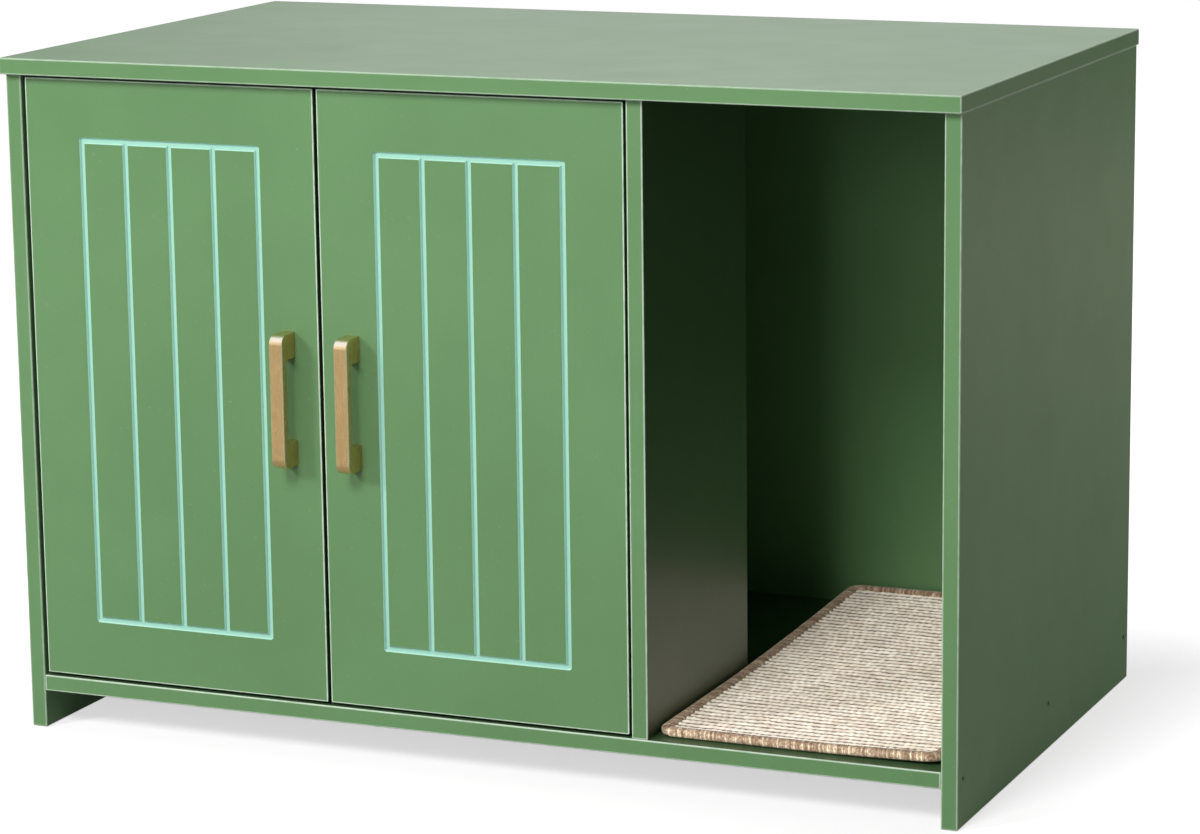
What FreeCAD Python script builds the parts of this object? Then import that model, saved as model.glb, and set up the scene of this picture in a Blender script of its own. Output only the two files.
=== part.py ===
import FreeCAD, Part
import os
from math import sqrt
from FreeCAD import Vector

# Cat litter box cabinet: a case of flat boards with two hinged doors on the left, an open
# entry bay on the right, and a short divider that the cat walks round to reach the tray.
# Millimetres, +Z up, front towards -Y. The origin is on the floor, under the middle of the
# whole outline, handles included.

# ---------------------------------------------------------------- driving dimensions
# Case
top_width = 900.0           # top panel, left to right
case_depth = 530.0          # front edge of the top to the rear of the back panel
total_height = 620.0        # floor to the top surface
board = 15.0                # thickness of every board panel
back_thickness = 3.0        # thickness of the back panel
top_side_overhang = 2.0     # top panel beyond each side panel
top_front_overhang = 8.0    # top panel in front of the side panels
floor_height = 35.0         # underside of the floor panel above the floor
entry_width = 265.0         # clear width of the open entry bay
divider_depth = 240.0       # front to rear of the divider
back_inset = 2.0            # back panel's edge inside the outer faces
edge_ease = 1.2             # rounding of every board edge
blind_skin = 4.0            # board left behind a blind hole

# Doors
door_side_gap = 3.0         # door edge to side panel or divider
door_meeting_gap = 3.0      # between the two doors
door_top_gap = 2.5
door_bottom_gap = 2.5
door_recess = 2.0           # door front behind the side panels' front edges

# Grooves milled in the door fronts
groove_margin_side = 56.5   # door edge to the ring's centre line
groove_margin_end = 55.0
groove_width = 5.8
groove_floor = 2.8
groove_depth = 2.4
groove_bays = 4             # spaces between the upright grooves

# Handles
handle_length = 120.0
handle_width = 13.0
handle_projection = 25.0    # door front to the front of the grip
handle_bar = 8.0            # thickness of the grip
handle_post = 23.0          # height of each post
handle_hole_inset = 12.0    # end of the handle to its screw hole
handle_edge = 30.0          # handle's middle from the door's meeting edge
handle_outer_radius = 9.0
handle_inner_radius = 4.0
handle_ease = 0.8
handle_screw_bite = 12.0    # thread inside the post
handle_screw_radius = 2.0
handle_screw_head_radius = 4.0
handle_screw_head = 2.4
drive_slot = 1.0            # width of a cross recess
drive_slot_depth = 1.2
drive_slot_share = 1.25     # length of a cross recess, as a share of the head's radius
head_ease = 0.35            # rounding of a screw head, as a share of its height
socket_radius_share = 0.3   # pan head's socket, as a share of the head's radius
socket_depth_share = 0.6    # and as a share of its height
pick = 0.01                 # tolerance when an edge is picked by its place

# Concealed hinges. u is measured from the carrying panel's face, w from the door's front.
hinge_inset = 80.0          # hinge's middle from the door's top or bottom edge
cup_diameter = 35.0
hinge_scale = cup_diameter / 35.0       # the hinge's moving pieces follow the cup's size
cup_depth = 11.2 * hinge_scale
cup_wall = 0.9
cup_edge = 3.0              # door edge to the cup's bore
flange_thickness = 1.2
flange_rim = 1.5            # flange beyond the cup
flange_wing_length = 60.0 * hinge_scale
flange_wing_width = 14.0
flange_wing_corner = 5.6
cup_screw_spacing = 48.0 * hinge_scale
cup_screw_offset = 6.0 * hinge_scale    # screws beyond the cup's middle
cup_screw_radius = 1.5
cup_screw_head_radius = 3.2
cup_screw_head = 2.0
# The four pins of a 35 mm hinge with the door shut: distance from the cup's edge nearest
# the carrying panel, and depth below the door's back face
arm_inner_pin_place = (12.1, 6.9)
cup_inner_pin_place = (5.3, 7.4)
arm_outer_pin_place = (27.0, 6.6)
cup_outer_pin_place = (9.5, 6.7)
pin_radius = 1.2 * hinge_scale
pin_clearance = 0.06        # radial play of a link on its pin
open_pivot_clearance = 0.25     # radial play where the inner link meets the cup
link_end_radius = 2.5 * hinge_scale
# Layers of the hinge, outwards from its middle plane
inner_link_half = 2.8 * hinge_scale
arm_wall_inner = 3.3 * hinge_scale
arm_wall = 1.7 * hinge_scale
outer_link_inner = 5.3 * hinge_scale
outer_link_plate = 1.5 * hinge_scale
cheek_inner = 7.2 * hinge_scale
cheek_plate = 1.6 * hinge_scale
arm_nose_radius = 2.9 * hinge_scale
arm_bridge_behind = 16.0    # arm's cross piece behind the door
arm_bridge_half = 3.6
arm_web = 1.4
arm_rise = 11.0             # arm's back above the carrying panel
arm_length = 45.0           # straight part of the arm, behind its cross piece
arm_screw_behind = 45.0     # clamping screw behind the door
arm_screw_radius = 2.0
arm_screw_head_radius = 3.6
arm_screw_head = 2.2
plate_line_behind = 37.0    # mounting plate's screws behind the door
plate_length = 36.0
plate_base = 2.4
plate_height = 50.0
plate_corner = 6.0
plate_screw_spacing = 32.0
plate_screw_radius = 2.5
plate_screw_head_radius = 4.0
plate_screw_head = 1.8
saddle_clearance = 0.3

# Fasteners
confirmat_length = 50.0
confirmat_head_radius = 5.0
confirmat_head = 3.0
confirmat_shank_radius = 3.5
confirmat_front = 14.0      # first screw behind the front edge
confirmat_socket_radius = 2.0
confirmat_socket_depth = 2.4
dowel_radius = 4.0
dowel_length = 30.0
cam_radius = 7.5
cam_skin = 2.7              # board left behind a cam
cam_set = 24.0              # cam's middle below the board's top edge
cam_bolt_radius = 3.0
cam_bolt_thread_radius = 2.5
cam_bolt_head_radius = 3.4
cam_bolt_neck_radius = 1.8
cam_front = 40.0            # first cam behind the front edge
dowel_step = 32.0           # dowel behind its cam
fit_clearance = 0.1         # loose fit of dowels, bolts and cams
nail_radius = 0.8
nail_length = 20.0
nail_head_radius = 2.0
nail_head = 0.6
nail_step = 110.0           # largest space between nails

# Magnetic catches
catch_width = 46.0
catch_depth = 14.0
catch_height = 13.0
catch_from_meeting = 70.0   # catch's middle from the meeting line
strike_thickness = 1.2
strike_width = 38.0
strike_height = 13.0
strike_gap = 0.3            # catch face to strike plate
strike_corner = 2.5
strike_screw_inset = 6.0    # plate's end to its screw
strike_screw_radius = 1.5
strike_screw_head_radius = 3.0
strike_screw_head = 1.0
catch_ear = 10.0            # length of each mounting ear
catch_ear_thickness = 3.0
catch_ear_setback = 2.0     # ears behind the catch's face
catch_nose_setback = 1.0    # housing behind the magnet's face
catch_ease = 0.8
catch_screw_inset = 5.0     # catch's end to its screw
catch_screw_radius = 1.5
catch_screw_head_radius = 2.8
catch_screw_head = 1.6
magnet_width = 20.0
magnet_depth = 10.0
magnet_height = 6.0
magnet_below_top = 7.5      # magnet's middle below the top panel

# Mat
mat_front = 13.0            # mat behind the floor panel's front edge
mat_back_gap = 2.0          # mat to the back panel
mat_left_gap = 2.0          # mat to the divider
mat_right_gap = 3.0         # mat to the side panel
mat_corner = 16.0
mat_pile_height = 7.0
mat_binding_height = 8.5
mat_binding_width = 12.0
mat_binding_round = 3.0
mat_lift = 0.2              # mat above the floor panel

# ---------------------------------------------------------------- derived places
handle_proud = handle_projection - door_recess - top_front_overhang
overall_depth = case_depth + handle_proud
top_front = handle_proud - overall_depth / 2
front = top_front + top_front_overhang      # side panels' front edges
rear = top_front + case_depth - back_thickness
side_depth = rear - front
outer = top_width / 2 - top_side_overhang   # side panels' outer faces
inner = outer - board
under_top = total_height - board
floor_top = floor_height + board
divider_right = inner - entry_width
divider_left = divider_right - board
door_front = front + door_recess
door_back = door_front + board
door_bottom = floor_top + door_bottom_gap
door_top = under_top - door_top_gap
door_width = (divider_left + inner - 2 * door_side_gap - door_meeting_gap) / 2
left_door_start = door_side_gap - inner
right_door_start = left_door_start + door_width + door_meeting_gap
meeting_line = right_door_start - door_meeting_gap / 2
door_middle = (door_bottom + door_top) / 2
hinge_levels = (door_bottom + hinge_inset, door_top - hinge_inset)
confirmat_places = (front + confirmat_front, (front + rear) / 2, rear - confirmat_front)
cup_radius = cup_diameter / 2
cup_start = door_side_gap + cup_edge    # u of the cup's edge nearest the carrying panel
cup_centre = cup_start + cup_radius
flange_radius = cup_radius + flange_rim
blind_depth = board - blind_skin
cam_height = board - cam_skin
arm_bridge = board + arm_bridge_behind
arm_end = arm_bridge + arm_length
arm_screw_line = board + arm_screw_behind
plate_line = board + plate_line_behind


def hinge_pin(place):
    # u and w of a pin.
    return (cup_start + hinge_scale * place[0], board - hinge_scale * place[1])


arm_inner_pin = hinge_pin(arm_inner_pin_place)
cup_inner_pin = hinge_pin(cup_inner_pin_place)
arm_outer_pin = hinge_pin(arm_outer_pin_place)
cup_outer_pin = hinge_pin(cup_outer_pin_place)


# ---------------------------------------------------------------- shape helpers
def box(x0, x1, y0, y1, z0, z1):
    return Part.makeBox(x1 - x0, y1 - y0, z1 - z0, Vector(x0, y0, z0))


def rod(radius, start, end):
    axis = Vector(*end) - Vector(*start)
    return Part.makeCylinder(radius, axis.Length, Vector(*start), axis)


def eased(shape, radius):
    return shape.makeFillet(radius, shape.Edges)


def fused(shapes):
    result = shapes[0].multiFuse(shapes[1:])
    return result.removeSplitter()


def group(shapes):
    return Part.makeCompound(shapes)


def save(name, shape):
    shape.exportStep("parts/" + name + ".step")
    print(name, len(shape.Solids), "solids", round(shape.Volume), "mm3", shape.isValid())


def capsule(start, end, radius, low, high):
    # Two discs and the bar between them, in plan, from z = low to z = high.
    a = Vector(start[0], start[1], low)
    b = Vector(end[0], end[1], low)
    along = (b - a).normalize()
    side = Vector(-along.y, along.x, 0) * radius
    bar = Part.makePolygon([a + side, b + side, b - side, a - side, a + side])
    height = Vector(0, 0, high - low)
    pieces = [Part.Face(bar).extrude(height)]
    for centre in (a, b):
        pieces.append(Part.makeCylinder(radius, high - low, centre))
    return fused(pieces)


def both_sides(low, high):
    # The two mirrored layers at the same distance from the hinge's middle plane.
    return ((low, high), (-high, -low))


def cross_recess(head_radius):
    # Width and height of the two crossing slots in a screw head.
    length = drive_slot_share * head_radius
    return ((drive_slot, length), (length, drive_slot))


def rounded_outline(x0, x1, z0, z1, radius, y):
    # Closed wire of four lines and four quarter arcs in the plane of a door front.
    k = radius * (1 - sqrt(0.5))
    arcs = [
        ((x1 - radius, z0), (x1 - k, z0 + k), (x1, z0 + radius)),
        ((x1, z1 - radius), (x1 - k, z1 - k), (x1 - radius, z1)),
        ((x0 + radius, z1), (x0 + k, z1 - k), (x0, z1 - radius)),
        ((x0, z0 + radius), (x0 + k, z0 + k), (x0 + radius, z0)),
    ]
    edges = []
    for i, arc in enumerate(arcs):
        points = [Vector(px, y, pz) for px, pz in arc]
        nxt = arcs[(i + 1) % 4][0]
        edges.append(Part.Arc(*points).toShape())
        edges.append(Part.LineSegment(points[2], Vector(nxt[0], y, nxt[1])).toShape())
    return Part.Wire(edges)


def rounded_slab(x0, x1, y0, y1, z0, z1, radius):
    slab = box(x0, x1, y0, y1, z0, z1)
    uprights = [e for e in slab.Edges if abs(e.Vertexes[0].Z - e.Vertexes[1].Z) > (z1 - z0) / 2]
    return slab.makeFillet(radius, uprights)


# ---------------------------------------------------------------- case panels
def cam_places(depth):
    return (front + cam_front, front + depth - cam_front)


def upright_fittings(depth):
    # y of the cams and of the dowels in an upright board of this depth.
    first, last = cam_places(depth)
    return (first, last), (first + dowel_step, last - dowel_step)


def top_edge_holes(middle, face, inward, depth):
    # Holes in an upright board for cams, bolts and dowels. face is the x of the board's
    # cam face and inward points from that face into the board.
    cams, dowels = upright_fittings(depth)
    holes = []
    level = under_top - cam_set
    for y in cams:
        holes.append(rod(cam_radius + fit_clearance, (face, y, level),
                         (face + inward * (cam_height + fit_clearance), y, level)))
        holes.append(rod(cam_bolt_head_radius + 2 * fit_clearance, (middle, y, level),
                         (middle, y, under_top)))
    for y in dowels:
        holes.append(rod(dowel_radius + fit_clearance, (middle, y, under_top - dowel_length + blind_depth),
                         (middle, y, under_top)))
    return holes


def top_panel():
    panel = eased(box(-top_width / 2, top_width / 2, top_front, rear, under_top, total_height), edge_ease)
    holes = []
    for middle, depth in upright_boards():
        cams, dowels = upright_fittings(depth)
        for y in cams:
            holes.append(rod(cam_bolt_thread_radius, (middle, y, under_top),
                             (middle, y, under_top + blind_depth)))
        for y in dowels:
            holes.append(rod(dowel_radius + fit_clearance, (middle, y, under_top),
                             (middle, y, under_top + blind_depth + fit_clearance)))
    for x in catch_middles():
        for dx in catch_screw_offsets():
            holes.append(rod(catch_screw_radius, (x + dx, catch_line(), under_top),
                             (x + dx, catch_line(), under_top + blind_depth)))
    for start, tip in nails_into("top"):
        holes.append(rod(nail_radius, start, tip))
    return panel.cut(holes)


def upright_boards():
    # Middle x and depth of each board that the top panel stands on.
    side = inner + board / 2
    return ((-side, side_depth), (side, side_depth), (divider_left + board / 2, divider_depth))


def side_panel(sign):
    # sign is -1 for the left panel and 1 for the right one.
    x0, x1 = sorted((sign * inner, sign * outer))
    panel = eased(box(x0, x1, front, rear, 0, under_top), edge_ease)
    middle = sign * (inner + board / 2)
    holes = top_edge_holes(middle, sign * inner, sign, side_depth)
    level = floor_height + board / 2
    for y in confirmat_places:
        holes.append(rod(confirmat_shank_radius, (sign * inner, y, level), (sign * outer, y, level)))
        holes.append(rod(confirmat_head_radius, (sign * (outer - confirmat_head - fit_clearance), y, level),
                         (sign * outer, y, level)))
    for start, tip in nails_into("side"):
        if start[0] * sign > 0:
            holes.append(rod(nail_radius, start, tip))
    if sign < 0:
        holes += plate_screw_holes(-inner, -1)
    return panel.cut(holes)


def floor_panel():
    panel = eased(box(-inner, inner, front, rear, floor_height, floor_top), edge_ease)
    level = floor_height + board / 2
    holes = []
    for sign in (-1, 1):
        for y in confirmat_places:
            tip = sign * (outer - confirmat_length - fit_clearance)
            holes.append(rod(confirmat_shank_radius, (tip, y, level), (sign * inner, y, level)))
    for y in cam_places(divider_depth):
        middle = divider_left + board / 2
        holes.append(rod(confirmat_shank_radius, (middle, y, floor_height), (middle, y, floor_top)))
        holes.append(rod(confirmat_head_radius, (middle, y, floor_height),
                         (middle, y, floor_height + confirmat_head + fit_clearance)))
    for start, tip in nails_into("floor"):
        holes.append(rod(nail_radius, start, tip))
    return panel.cut(holes)


def divider_panel():
    panel = box(divider_left, divider_right, front, front + divider_depth, floor_top, under_top)
    panel = eased(panel, edge_ease)
    middle = divider_left + board / 2
    holes = top_edge_holes(middle, divider_left, 1, divider_depth)
    for y in cam_places(divider_depth):
        tip = floor_height + confirmat_length + fit_clearance
        holes.append(rod(confirmat_shank_radius, (middle, y, floor_top), (middle, y, tip)))
    holes += plate_screw_holes(divider_left, 1)
    return panel.cut(holes)


def back_outline():
    half = outer - back_inset
    return -half, half, floor_height + back_inset, total_height - back_inset


def back_panel():
    x0, x1, z0, z1 = back_outline()
    panel = box(x0, x1, rear, rear + back_thickness, z0, z1)
    back = rear + back_thickness
    holes = []
    for x, z, kind in nail_places():
        holes.append(rod(nail_radius, (x, rear, z), (x, back, z)))
        holes.append(rod(nail_head_radius, (x, back - nail_head, z), (x, back, z)))
    return panel.cut(holes)


# ---------------------------------------------------------------- case fasteners
def spaced(low, high, step):
    count = int((high - low) / step) + 1
    return [low + (high - low) * i / count for i in range(count + 1)]


def nail_places():
    # x, z and the board that each nail goes into.
    x0, x1, z0, z1 = back_outline()
    side = inner + board / 2
    level = floor_height + board / 2
    top_level = under_top + board / 2
    places = []
    for z in spaced(level + nail_step / 2, top_level - nail_step / 2, nail_step):
        places.append((-side, z, "side"))
        places.append((side, z, "side"))
    for x in spaced(x0 + nail_step / 2, x1 - nail_step / 2, nail_step):
        places.append((x, level, "floor"))
        places.append((x, top_level, "top"))
    return places


def nails_into(kind):
    # Start and tip of the nails that go into one kind of board.
    tip = rear + back_thickness - nail_length
    return [((x, rear, z), (x, tip, z)) for x, z, k in nail_places() if k == kind]


def back_panel_nails():
    back = rear + back_thickness
    nails = []
    for x, z, kind in nail_places():
        shank = rod(nail_radius, (x, back - nail_length, z), (x, back, z))
        head = rod(nail_head_radius, (x, back - nail_head, z), (x, back, z))
        nails.append(fused([shank, head]))
    return group(nails)


def confirmat(start, direction):
    # Countersunk connecting screw with a hexagon socket. start is the middle of its head.
    direction = Vector(*direction)
    start = Vector(*start)
    head = Part.makeCylinder(confirmat_head_radius, confirmat_head, start, direction)
    shank = Part.makeCylinder(confirmat_shank_radius, confirmat_length - fit_clearance, start, direction)
    socket = Part.makeCylinder(confirmat_socket_radius, confirmat_socket_depth, start, direction)
    return fused([head, shank]).cut(socket)


def floor_screws():
    level = floor_height + board / 2
    screws = []
    for sign in (-1, 1):
        for y in confirmat_places:
            screws.append(confirmat((sign * (outer - fit_clearance), y, level), (-sign, 0, 0)))
    return group(screws)


def divider_screws():
    middle = divider_left + board / 2
    return group([confirmat((middle, y, floor_height + fit_clearance), (0, 0, 1))
                  for y in cam_places(divider_depth)])


def dowels():
    pins = []
    for middle, depth in upright_boards():
        for y in upright_fittings(depth)[1]:
            high = under_top + blind_depth
            low = high - dowel_length + fit_clearance
            pins.append(rod(dowel_radius, (middle, y, low), (middle, y, high)))
    return group(pins)


def cam_bolts():
    bolts = []
    level = under_top - cam_set
    for middle, depth in upright_boards():
        for y in cam_places(depth):
            thread = rod(cam_bolt_thread_radius, (middle, y, under_top),
                         (middle, y, under_top + blind_depth))
            shank = rod(cam_bolt_radius, (middle, y, level + cam_bolt_radius), (middle, y, under_top))
            neck = rod(cam_bolt_neck_radius, (middle, y, level), (middle, y, level + cam_bolt_radius))
            head = rod(cam_bolt_head_radius, (middle, y, level - cam_bolt_radius / 2),
                       (middle, y, level + cam_bolt_radius / 2))
            bolts.append(fused([thread, shank, neck, head]))
    return group(bolts)


def cam_locks():
    cams = []
    level = under_top - cam_set
    faces = ((-inner, -1, side_depth), (inner, 1, side_depth), (divider_left, 1, divider_depth))
    for face, inward, depth in faces:
        for y in cam_places(depth):
            cam = rod(cam_radius, (face, y, level), (face + inward * cam_height, y, level))
            middle = face + inward * board / 2
            pocket = rod(cam_bolt_head_radius + 2 * fit_clearance, (middle, y, level - cam_bolt_radius),
                         (middle, y, level + cam_radius))
            slot = []
            for a, b in cross_recess(cam_radius / 2):
                slot.append(box(face - drive_slot_depth, face + drive_slot_depth,
                                y - a / 2, y + a / 2, level - b / 2, level + b / 2))
            cams.append(cam.cut([pocket] + slot))
    return group(cams)


# ---------------------------------------------------------------- doors
def groove_half(depth):
    # Half the groove's width at this depth below the door front.
    return groove_width / 2 - depth * (groove_width - groove_floor) / (2 * groove_depth)


def groove_ring(x0, x1, z0, z1):
    # Ring with sloped walls, as a tapered cutter leaves it: round outside corners and
    # square inside ones.
    outside, inside = [], []
    for depth in (-edge_ease, groove_depth):
        half = groove_half(depth)
        y = door_front + depth
        outside.append(rounded_outline(x0 - half, x1 + half, z0 - half, z1 + half, half, y))
        corners = ((x0 + half, z0 + half), (x1 - half, z0 + half),
                   (x1 - half, z1 - half), (x0 + half, z1 - half), (x0 + half, z0 + half))
        inside.append(Part.makePolygon([Vector(px, y, pz) for px, pz in corners]))
    return Part.makeLoft(outside, True, True).cut(Part.makeLoft(inside, True, True))


def upright_groove(x, z0, z1):
    points = []
    for side, depth in ((-1, -edge_ease), (1, -edge_ease), (1, groove_depth), (-1, groove_depth)):
        points.append(Vector(x + side * groove_half(depth), door_front + depth, z0))
    points.append(points[0])
    return Part.Face(Part.makePolygon(points)).extrude(Vector(0, 0, z1 - z0))


def door(start, hinge_sign, face):
    # start is the door's left edge, face the x of the panel that carries its hinges, and
    # hinge_sign points from that panel into the bay.
    end = start + door_width
    panel = eased(box(start, end, door_front, door_back, door_bottom, door_top), edge_ease)
    x0, x1 = start + groove_margin_side, end - groove_margin_side
    z0, z1 = door_bottom + groove_margin_end, door_top - groove_margin_end
    panel = panel.cut(groove_ring(x0, x1, z0, z1))
    cuts = []
    for i in range(1, groove_bays):
        cuts.append(upright_groove(x0 + (x1 - x0) * i / groove_bays, z0, z1))
    for z in hinge_levels:
        cup_x = face + hinge_sign * cup_centre
        cuts.append(rod(cup_radius + fit_clearance, (cup_x, door_back - cup_depth - fit_clearance, z),
                        (cup_x, door_back, z)))
        for x, level in cup_screw_places(z):
            sx = face + hinge_sign * x
            cuts.append(rod(cup_screw_radius, (sx, door_back - blind_depth, level), (sx, door_back, level)))
    hx = handle_middle(start, hinge_sign)
    for z in handle_hole_levels():
        cuts.append(rod(handle_screw_radius + fit_clearance, (hx, door_front, z), (hx, door_back, z)))
    cx = catch_middle(hinge_sign)
    for dx in strike_screw_offsets():
        cuts.append(rod(strike_screw_radius, (cx + dx, door_back - blind_depth, strike_level()),
                        (cx + dx, door_back, strike_level())))
    return panel.cut(cuts)


# ---------------------------------------------------------------- handles
def handle_middle(start, hinge_sign):
    # x of the handle on the door's free side.
    free = start + door_width if hinge_sign > 0 else start
    return free - hinge_sign * handle_edge


def handle_hole_levels():
    half = handle_length / 2 - handle_hole_inset
    return (door_middle - half, door_middle + half)


def handle(middle):
    # Square-bar bow: a block with rounded front corners less the finger gap.
    x0, x1 = middle - handle_width / 2, middle + handle_width / 2
    z0, z1 = door_middle - handle_length / 2, door_middle + handle_length / 2
    grip = door_front - handle_projection
    block = box(x0, x1, grip, door_front, z0, z1)
    corners = [e for e in block.Edges
               if e.BoundBox.XLength > handle_width / 2 and e.BoundBox.YMax < grip + pick]
    block = block.makeFillet(handle_outer_radius, corners)
    gap = box(x0 - handle_width, x1 + handle_width, grip + handle_bar, door_front + handle_projection,
              z0 + handle_post, z1 - handle_post)
    corners = [e for e in gap.Edges
               if e.BoundBox.XLength > handle_width / 2 and e.BoundBox.YMax < door_front]
    gap = gap.makeFillet(handle_inner_radius, corners)
    bow = block.cut(gap)
    rim = [e for e in bow.Edges
           if e.BoundBox.XLength < pick and e.BoundBox.YMin < door_front - pick]
    bow = bow.makeFillet(handle_ease, rim)
    holes = [rod(handle_screw_radius, (middle, door_front - handle_screw_bite, z), (middle, door_front, z))
             for z in handle_hole_levels()]
    return bow.cut(holes)


def handle_screws(middle):
    screws = []
    tip = door_front - handle_screw_bite
    top = door_back + handle_screw_head
    for z in handle_hole_levels():
        shank = rod(handle_screw_radius, (middle, tip, z), (middle, door_back, z))
        head = rod(handle_screw_head_radius, (middle, door_back, z), (middle, top, z))
        head = head.makeFillet(head_ease * handle_screw_head, [head.Edges[0]])
        slots = []
        for a, b in cross_recess(handle_screw_head_radius):
            slots.append(box(middle - a / 2, middle + a / 2, top - drive_slot_depth, top,
                             z - b / 2, z + b / 2))
        screws.append(fused([shank, head]).cut(slots))
    return group(screws)


# ---------------------------------------------------------------- concealed hinges
def cup_screw_places(z):
    u = cup_centre + cup_screw_offset
    return ((u, z - cup_screw_spacing / 2), (u, z + cup_screw_spacing / 2))


def plate_screw_holes(face, inward):
    # Holes in the panel that carries a door's hinges. inward points into the board.
    holes = []
    y = door_front + plate_line
    for z in hinge_levels:
        for dz in (-plate_screw_spacing / 2, plate_screw_spacing / 2):
            holes.append(rod(plate_screw_radius, (face, y, z + dz), (face + inward * blind_depth, y, z + dz)))
    return holes


def cup():
    # Drawn metal cup with its mounting flange and the two cheeks that hold the pins.
    rim = board + flange_thickness
    bottom = board - cup_depth
    body = rod(cup_radius, (cup_centre, bottom, 0), (cup_centre, board, 0))
    flange = rod(flange_radius, (cup_centre, board, 0), (cup_centre, rim, 0))
    wing = box(cup_centre + cup_screw_offset - flange_wing_width / 2,
               cup_centre + cup_screw_offset + flange_wing_width / 2,
               board, rim, -flange_wing_length / 2, flange_wing_length / 2)
    ends = [e for e in wing.Edges if e.BoundBox.YLength > flange_thickness / 2]
    wing = wing.makeFillet(flange_wing_corner, ends)
    shell = fused([body, flange, wing])
    hollow = rod(cup_radius - cup_wall, (cup_centre, bottom + cup_wall, 0), (cup_centre, rim, 0))
    holes = [rod(cup_screw_radius, (u, board, z), (u, rim, z)) for u, z in cup_screw_places(0)]
    shell = shell.cut([hollow] + holes)
    cheeks = []
    for low, high in both_sides(cheek_inner, cheek_inner + cheek_plate):
        plate = capsule(cup_inner_pin, cup_outer_pin, link_end_radius, low, high)
        foot = box(cup_inner_pin[0] - link_end_radius, cup_outer_pin[0] + link_end_radius,
                   bottom + cup_wall, cup_inner_pin[1], low, high)
        cheeks.append(plate.fuse(foot))
    solid = fused([shell] + cheeks)
    half = cheek_inner + cheek_plate
    bores = [rod(pin_radius, (p[0], p[1], -half), (p[0], p[1], half)) for p in (cup_inner_pin, cup_outer_pin)]
    return solid.cut(bores)


def cup_pins():
    half = cheek_inner + cheek_plate
    u, w = cup_inner_pin
    pins = [rod(pin_radius, (u, w, -half), (u, w, half))]
    u, w = cup_outer_pin
    for low, high in both_sides(outer_link_inner, half):
        pins.append(rod(pin_radius, (u, w, low), (u, w, high)))
    return pins


def inner_link():
    bar = capsule(arm_inner_pin, cup_inner_pin, link_end_radius, -inner_link_half, inner_link_half)
    bores = []
    for (u, w), play in ((arm_inner_pin, pin_clearance), (cup_inner_pin, open_pivot_clearance)):
        bores.append(rod(pin_radius + play, (u, w, -inner_link_half), (u, w, inner_link_half)))
    return bar.cut(bores)


def outer_links():
    plates = []
    for low, high in both_sides(outer_link_inner, outer_link_inner + outer_link_plate):
        bar = capsule(arm_outer_pin, cup_outer_pin, link_end_radius, low, high)
        bores = [rod(pin_radius + pin_clearance, (p[0], p[1], low), (p[0], p[1], high))
                 for p in (arm_outer_pin, cup_outer_pin)]
        plates.append(bar.cut(bores))
    return plates


def arm_pins():
    wall_out = arm_wall_inner + arm_wall
    u, w = arm_inner_pin
    pins = [rod(pin_radius, (u, w, -wall_out), (u, w, wall_out))]
    u, w = arm_outer_pin
    for low, high in both_sides(arm_wall_inner, outer_link_inner + outer_link_plate):
        pins.append(rod(pin_radius, (u, w, low), (u, w, high)))
    return pins


def arm():
    # Cranked channel: two walls that carry the pins, joined by a web along their back.
    wall_out = arm_wall_inner + arm_wall
    neck = (arm_outer_pin[0], arm_bridge)
    heel = (arm_rise - arm_bridge_half, arm_bridge)
    foot_low = plate_base + 2 * saddle_clearance
    pieces = []
    for low, high in both_sides(arm_wall_inner, wall_out):
        pieces.append(capsule(arm_inner_pin, arm_outer_pin, arm_nose_radius, low, high))
        pieces.append(capsule(arm_outer_pin, neck, arm_nose_radius, low, high))
        pieces.append(capsule(neck, heel, arm_bridge_half, low, high))
        pieces.append(box(foot_low, arm_rise, arm_bridge, arm_end, low, high))
    outside = arm_outer_pin[0] + arm_nose_radius
    neck_low = board + flange_thickness
    pieces.append(box(outside - arm_web, outside, neck_low, arm_bridge, -wall_out, wall_out))
    bridge_back = arm_bridge + arm_bridge_half
    pieces.append(box(arm_rise - arm_web, arm_outer_pin[0], bridge_back - arm_web, bridge_back,
                      -wall_out, wall_out))
    pieces.append(box(arm_rise - arm_web, arm_rise, bridge_back - arm_web, arm_end, -wall_out, wall_out))
    solid = fused(pieces)
    bores = []
    for p in (arm_inner_pin, arm_outer_pin):
        bores.append(rod(pin_radius, (p[0], p[1], -wall_out), (p[0], p[1], wall_out)))
    bores.append(rod(arm_screw_radius, (arm_rise - arm_web, arm_screw_line, 0),
                     (arm_rise, arm_screw_line, 0)))
    return solid.cut(bores)


def mounting_plate():
    base_start = plate_line - plate_length / 2
    base = box(0, plate_base, base_start, base_start + plate_length, -plate_height / 2, plate_height / 2)
    corners = [e for e in base.Edges if e.BoundBox.XLength > plate_base / 2]
    base = base.makeFillet(plate_corner, corners)
    half = arm_wall_inner - saddle_clearance
    saddle = box(0, arm_rise - arm_web - saddle_clearance, base_start, base_start + plate_length, -half, half)
    solid = fused([base, saddle])
    holes = [rod(arm_screw_radius, (plate_base, arm_screw_line, 0), (arm_rise, arm_screw_line, 0))]
    for dz in (-plate_screw_spacing / 2, plate_screw_spacing / 2):
        holes.append(rod(plate_screw_radius, (0, plate_line, dz), (plate_base, plate_line, dz)))
    return solid.cut(holes)


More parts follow.
